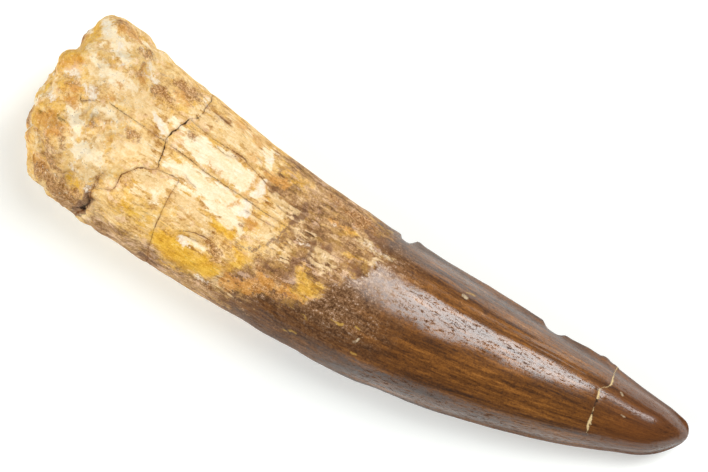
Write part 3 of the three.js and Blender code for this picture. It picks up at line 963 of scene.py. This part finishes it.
# Fragments of a rosier or a yellower dentine lie side by side.
hue = total(0, (chip_hue, 0.6), (patch_hue, 0.5), (ragged, 0.5))
colour = cover(colour, paint(248, 216, 190), ease(hue, 0.35, 0.8, 0, 0.4))
yellowed = times(ease(hue, -0.8, -0.2, 0.45, 0), browning(1, 0.4))
colour = cover(colour, paint(240, 194, 90), yellowed)

# Cream, ivory, ochre and orange stains, the larger and paler ones first.
cream_mask = stained(cream_in, calc("ADD", ragged, chip), 0.9, 0.4)
cream_colour = shades(total(fine_tone, (fibre, 0.35), (mottle, 0.4)), {
    -1: (214, 170, 108), 0: (238, 209, 158), 1: (251, 237, 208),
})
colour = cover(colour, cream_colour, times(cream_mask, browning(0.85, 0.65)))

ivory_mask = stained(ivory_in, total(ragged, (chip, 0.3)), 0.7, 0.25)
ivory_colour = shades(total(fine_tone, (mottle, 0.3), (fibre, 0.45)), {
    -1: (228, 192, 134), -0.4: (242, 218, 174), 0.2: (248, 232, 200), 1: (253, 245, 224),
})
colour = cover(colour, ivory_colour, ivory_mask)

ochre_mask = stained(ochre_in, calc("ADD", ragged, fibre), 1.1, 0.7)
ochre_colour = shades(total(fine_tone, (fibre, 0.5), (mottle, 0.4)), {
    -1: (178, 120, 30), -0.3: (218, 164, 46), 0.3: (238, 193, 76), 1: (250, 224, 134),
})
colour = cover(colour, ochre_colour, times(ochre_mask, browning(0.85, 0.55)))

orange_mask = stained(orange_in, coarse, 0.7, 0.3)
orange_colour = shades(total(fine_tone, (mottle, 0.5)), {
    -1: (156, 94, 34), 0: (212, 152, 72), 1: (245, 208, 142),
})
colour = cover(colour, orange_colour, times(orange_mask, 0.75))

# Fine marks across the fibres where the dentine turns brown.
crosswise = vector_calc("MULTIPLY", place, (4.5, 0.9, 0.9))
cross_marks = ease(unevenness(crosswise, 1, 4, 0.6), 0.15, 0.9, 0, 0.6)
colour = cover(colour, paint(150, 100, 50), times(cross_marks, ease(brown_mask, 0.3, 1)))

# Brown fibres show through everywhere but on the break and the clean ivory.
streak = ease(total(fibre, (thread, 0.8)), 0.4, 1.1, 0, 0.75)
streak = times(streak, fibrous_in, ease(ivory_mask, 0, 1, 0.7, 0.15))
colour = cover(colour, paint(146, 100, 58), streak)

# Coarse grains, brown and pale side by side, in the rust stains and over the break.
grain_tone = total(speck, (grit, 0.5))
rust_mask = stained(rust_in, calc("ADD", ragged, mottle), 0.8, 0.45)
rust_colour = shades(total(0, (mottle, 0.4), (grain_tone, 1.1)), {
    -1: (82, 48, 22), -0.35: (138, 90, 46), 0.1: (184, 134, 78), 1: (240, 210, 170),
})
colour = cover(colour, rust_colour, times(rust_mask, 0.85))

umber_mask = stained(umber_in, total(coarse, (fibre, 0.6)), 0.35, 0.2)
umber_colour = shades(total(fine_tone, (fibre, 0.5)), {
    -1: (82, 54, 38), 0: (130, 94, 70), 1: (190, 154, 120),
})
colour = cover(colour, umber_colour, times(umber_mask, 0.8))

dark_grains = ease(total(grain_tone, (crumb, 0.4)), 0.45, 1.1, 0, 0.65)
colour = cover(colour, paint(146, 94, 44), times(dark_grains, granular_in))
pale_grains = ease(calc("SUBTRACT", mottle, grain_tone), 0.5, 1.1, 0, 0.8)
colour = cover(colour, paint(250, 236, 204), times(pale_grains, granular_in))

chalk_mask = stained(chalk_in, coarse, 0.5, 0.3)
chalk_colour = shades(grain_tone, {-1: (226, 202, 172), 1: (254, 248, 234)})
colour = cover(colour, chalk_colour, times(chalk_mask, 0.85))

# Enamel: dark brown with amber growth streaks, redder at the tip, mottled and greyer where it starts,
# and paler there high on the top, which is painted highlight. It is darker down both sides, towards the tip
# and where it is scuffed.
enamel_mask = stained(enamel_in, total(coarse, (fibre, 0.8)), 1.1, 0.5)
wrinkle = unevenness(vector_calc("MULTIPLY", grown, (3, 1, 1)), 0.4, 4, 0.7)
scuffs = total(wrinkle, (grit, 0.4), (speck, 0.6))
crown_tone = total(0, (fibre, 0.45), (band, 0.5), (wrinkle, 0.4), (speck, 0.35))
crown_tone = calc("ADD", crown_tone, ease(across_in, -8.5, -4.5, -0.3, 0))
crown_tone = calc("ADD", crown_tone, ease(across_in, 6.5, 8.5, 0, -0.25))
crown_tone = calc("ADD", crown_tone, ease(along_in, 77, 86, 0, -0.08))
crown_tone = calc("ADD", crown_tone, ease(scuffs, 0.2, 0.9, 0.08, -0.5))
enamel_colour = shades(crown_tone, {
    -1: (44, 25, 9), -0.45: (80, 48, 18), 0: (116, 74, 30), 0.45: (156, 104, 46), 1: (214, 168, 106),
})
tip_colour = shades(crown_tone, {-1: (58, 30, 9), 1: (142, 88, 38)})
enamel_colour = cover(enamel_colour, tip_colour, ease(along_in, 90, 104))

start_tone = total(0, (speck, 0.7), (mottle, 0.45), (wrinkle, 0.4), (grit, 0.25))
# Where the enamel starts, its tone is lifted high on the top, most in a band from 2 to 4.5 mm across: painted
# highlight.
painted_start_highlight = calc("ADD", ease(across_in, -3, 2, 0.2, 0.55), ease(across_in, 4.5, 6.5, 0, -0.5))
start_colour = shades(total(start_tone, (painted_start_highlight, ease(height_in, 10, 16))), {
    -1: (48, 30, 16), -0.1: (98, 68, 40), 0.5: (156, 122, 90), 1: (226, 206, 186),
})
ragged_start = total(along_in, (ragged, 3))
start_mask = times(ease(ragged_start, 54, 67, 0.85, 0), ease(across_in, -9.5, -5.5, 0.3, 1))
enamel_colour = cover(enamel_colour, start_colour, start_mask)
colour = cover(colour, enamel_colour, enamel_mask)

# The ochre and chalk that cling to the enamel are small, sharp flecks.
ochre_flecks = times(stained(ochre_in, ragged, 0.12, 0.12), enamel_mask, 0.7)
colour = cover(colour, paint(206, 168, 84), ochre_flecks)
chalk_flecks = times(stained(chalk_in, speck, 0.12, 0.14), enamel_mask, 0.85)
colour = cover(colour, paint(214, 196, 164), chalk_flecks)

# Cracks: dark where they gape, brown where they are fine, with a stain soaked in on each side.
wander = total(speck, (grit, 0.6))
crack_kinds = [
    ("cracks_across", paint(62, 40, 22), 1.0),
    ("cracks_branched", paint(122, 76, 38), 0.9),
    ("cracks_along", paint(98, 64, 36), 0.9),
    ("cracks_beside", paint(124, 78, 42), 0.85),
    ("hairlines", paint(134, 94, 56), 0.65),
]
crack_depth = 0.0
for name, crack_colour, strength in crack_kinds:
    line, soak = cracked(name, 0.05)
    soaked = times(soak, ease(coarse, -0.6, 0.9, 0, 0.7 * strength))
    colour = cover(colour, paint(162, 110, 58), soaked)
    dark_line = times(line, strength)
    colour = cover(colour, crack_colour, dark_line)
    crack_depth = calc("MAXIMUM", dark_line, crack_depth)
# Near-black specks, and painted shade in the two deepest hollows.
colour = cover(colour, paint(46, 30, 18), stained(black_in, speck, 0.2, 0.2))

# The crack near the tip is filled with pale sediment, but for some dark open bits.
filling, beside_filling = cracked("filled_crack", 0.1)
open_bits = ease(unevenness(place, 1.6, 1), 0.35, 0.6)
colour = cover(colour, paint(92, 60, 36), times(beside_filling, 0.4))
colour = cover(colour, cover(paint(222, 198, 150), paint(44, 28, 18), open_bits), filling)

# Gloss: the dentine is matte, a little smoother on the ivory plates. The enamel has a polished skin, scuffed
# in fine marks, less so beside the concave edge. It is thin where it starts and on the convex half, and
# dulled low down and at the tip.
dull = total(0.68, (mottle, 0.06), (ivory_mask, -0.12))
flank_polish = times(ease(across_in, 5.5, 7.5), ease(scuffs, 0.2, 1.1, 0.75, 0.35))
up_the_side = calc("ADD", height_in, ease(along_in, 84, 106, 0, 4.5))
polish = times(
    calc("MAXIMUM", ease(scuffs, -0.1, 0.6, 1, 0.05), flank_polish),
    ease(up_the_side, 8, 11, 0.35, 1),
    ease(across_in, -0.5, 3, 0.68, 1),
    ease(ragged_start, 51, 66, 0.3, 1),
    ease(along_in, 92, 102, 1, 0.85),
    enamel_mask,
    calc("SUBTRACT", 1, filling),
)

# Fine relief in millimetres: grains and fibres in the dentine, wrinkles in the enamel.
grains = total(0, (grit, 0.014), (speck, 0.04), (crumb, 0.02), (mottle, 0.05))
fibres = total(0, (thread, 0.013), (fibre, 0.03), (splinter, 0.012), (grit, 0.014))
crown_relief = total(0, (wrinkle, 0.02), (speck, 0.016), (grit, 0.006))
height = blend(blend(fibres, grains, granular_in), crown_relief, enamel_mask)
height = total(height, (crack_depth, -0.02), (chalk_mask, 0.03))
bump = put(skin, "Bump", {"Strength": 1, "Distance": MM, "Height": height})

DEEPENING = 1.12  # above 1, the middle tones turn darker
shader = put(skin, "BsdfPrincipled", {
    "Base Color": put(skin, "Gamma", {"Color": colour, "Gamma": DEEPENING}).outputs["Color"],
    "Roughness": dull,
    "Normal": bump.outputs["Normal"],
    "IOR": 1.5,
    "Specular IOR Level": 0.15,
    "Coat Weight": polish,
    "Coat Roughness": 0.19,
    "Coat IOR": 1.7,
})
put(skin, "OutputMaterial", {"Surface": shader.outputs["BSDF"]})
tooth_mesh.materials.append(finish)

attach(tooth, "root")
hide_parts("tooth")

# ---- The table -------------------------------------------------------------------------------------------
# A plain matte white table, wide enough to fill every view, and lit a little from below as a light table is.
TABLE_HALF = 3.0
TABLE_DROP = 0.02 * MM  # just below the worn flat spot, so that the two faces don't fight
TABLE_GLOW = 0.3
TABLE_GLOW_SEEN = 0.22

bpy.ops.mesh.primitive_plane_add(size=2 * TABLE_HALF, location=(0, 0, -TABLE_DROP))
table = bpy.context.object
table.name = "table"
table_finish = bpy.data.materials.new("matte white board")
table_finish.use_nodes = True
board_tree = table_finish.node_tree
board = board_tree.nodes["Principled BSDF"]
board.inputs["Base Color"].default_value = paint(238, 242, 239)
board.inputs["Roughness"].default_value = 0.9
board.inputs["Specular IOR Level"].default_value = 0.2
board.inputs["Emission Color"].default_value = paint(255, 255, 255)
seen_directly = put(board_tree, "LightPath").outputs["Is Camera Ray"]
glow = scale(seen_directly, 0, 1, TABLE_GLOW, TABLE_GLOW_SEEN)
board_tree.links.new(glow, board.inputs["Emission Strength"])
table.data.materials.append(table_finish)

# ---- The light -------------------------------------------------------------------------------------------
# A softbox over the concave side and the tip, a weaker, wider one low on the other side, and a dim room.
SOFTBOX_DISTANCE = 0.9
KEY_FROM = (0.287, 0.601, 1)
KEY_SIZE = (0.45, 0.8)
KEY_RADIANCE = 8.0
FILL_FROM = (-0.62, -0.55, 0.56)
FILL_SIZE = (0.9, 0.9)
FILL_RADIANCE = 3.3
ROOM_LIGHT = 0.04


def softbox(name, come_from, size, radiance):
    """A rectangular soft light that faces the tooth from that direction."""
    data = bpy.data.lights.new(name, "AREA")
    data.shape = "RECTANGLE"
    data.size, data.size_y = size
    data.energy = radiance * math.pi * size[0] * size[1]
    made = bpy.data.objects.new(name, data)
    bpy.context.scene.collection.objects.link(made)
    made.location = Vector(come_from).normalized() * SOFTBOX_DISTANCE
    made.rotation_euler = Vector(come_from).to_track_quat("Z", "Y").to_euler()
    made.visible_camera = False


softbox("key softbox", KEY_FROM, KEY_SIZE, KEY_RADIANCE)
softbox("fill softbox", FILL_FROM, FILL_SIZE, FILL_RADIANCE)

room = bpy.data.worlds.new("room")
bpy.context.scene.world = room
room.use_nodes = True
room_tree = room.node_tree
room_tree.nodes.clear()
seen = put(room_tree, "LightPath").outputs["Is Camera Ray"]
strength = scale(seen, 0, 1, ROOM_LIGHT, 1)
background = put(room_tree, "Background", {"Color": paint(247, 249, 252), "Strength": strength})
put(room_tree, "OutputWorld", {"Surface": background.outputs["Background"]})

bpy.context.scene.view_settings.view_transform = "Standard"
